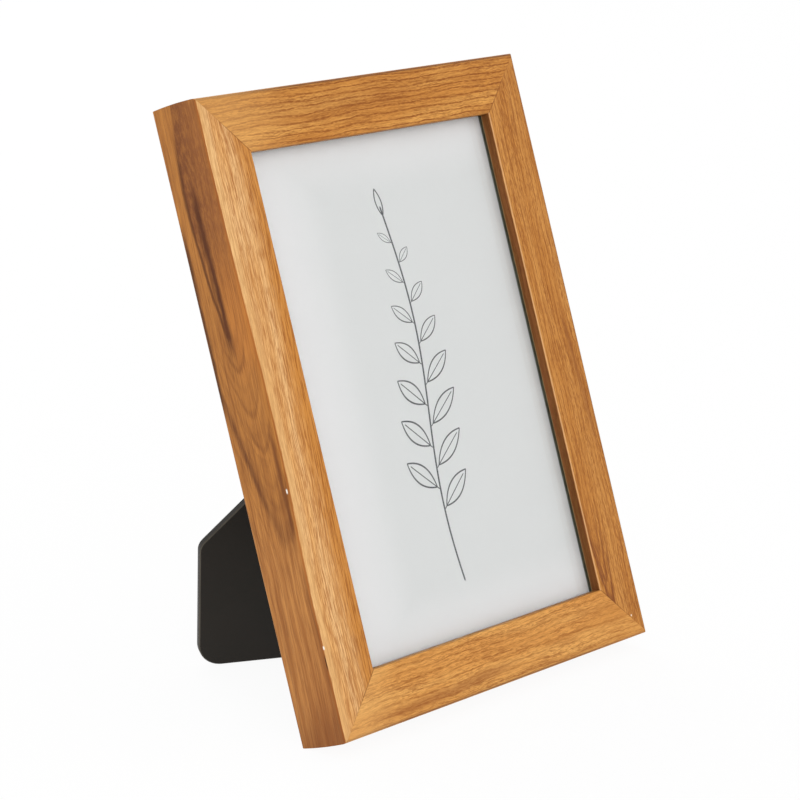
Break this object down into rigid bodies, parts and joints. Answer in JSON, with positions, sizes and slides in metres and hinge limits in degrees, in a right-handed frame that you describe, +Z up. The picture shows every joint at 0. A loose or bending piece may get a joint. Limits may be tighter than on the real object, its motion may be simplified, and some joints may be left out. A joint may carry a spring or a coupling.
{
  "type": "easel back photo frame",
  "caption": "Free-standing wood-effect photo frame with glass, backing board, turn buttons and a folding strut that stands it upright or on its side.",
  "frame": {"origin": "middle of the object's box, on the table it stands on", "axes": "+Z up, +X to the right seen from the front, +Y towards the back, where the strut stands"},
  "size_m": [0.1536, 0.1018, 0.1998],
  "materials": {
    "wood_wrap": "satin wood-effect foil",
    "glass": "clear",
    "picture_card": "matt",
    "corrugated_card": "matt",
    "black_board": "fibreboard wrapped in black paper",
    "black_steel": "satin black",
    "zinc_steel": "zinc plated",
    "bare_steel": "bare"
  },
  "bodies": {
    "frame": {"bottom_rail": "wood_wrap", "right_stile": "wood_wrap", "top_rail": "wood_wrap", "left_stile": "wood_wrap", "corner_nails": "bare_steel", "glass_pane": "glass", "picture_card": "picture_card", "filler_pad_1": "corrugated_card", "filler_pad_2": "corrugated_card", "filler_pad_3": "corrugated_card", "backing_board": "black_board", "button_screws": "zinc_steel", "hinge_board_leaf": "black_steel", "hinge_pin": "zinc_steel", "board_leaf_rivets": "zinc_steel"},
    "strut": {"strut": "black_board", "hinge_strut_leaf": "black_steel", "strut_leaf_rivets": "zinc_steel"},
    "turn_button_bottom": {"turn_button_bottom": "zinc_steel"},
    "turn_button_right": {"turn_button_right": "zinc_steel"},
    "turn_button_top": {"turn_button_top": "zinc_steel"},
    "turn_button_left": {"turn_button_left": "zinc_steel"}
  },
  "joints": [
    {"name": "strut_hinge", "type": "hinge", "parent": "frame", "child": "strut", "pos_m": [0.01948, -0.00424, 0.07997], "axis": [-0.7071, 0.2162, 0.6733], "range_deg": [0, 42.8]},
    {"name": "turn_bottom_button", "type": "hinge", "parent": "frame", "child": "turn_button_bottom", "pos_m": [0.02, -0.02875, 0.00623], "axis": [0, 0.9521, -0.3057], "continuous": true},
    {"name": "turn_right_button", "type": "hinge", "parent": "frame", "child": "turn_button_right", "pos_m": [0.0693, 0.00023, 0.09649], "axis": [0, 0.9521, -0.3057], "continuous": true},
    {"name": "turn_top_button", "type": "hinge", "parent": "frame", "child": "turn_button_top", "pos_m": [0.02, 0.02921, 0.18676], "axis": [0, 0.9521, -0.3057], "continuous": true},
    {"name": "turn_left_button", "type": "hinge", "parent": "frame", "child": "turn_button_left", "pos_m": [-0.0693, 0.00023, 0.09649], "axis": [0, 0.9521, -0.3057], "continuous": true}
  ]
}
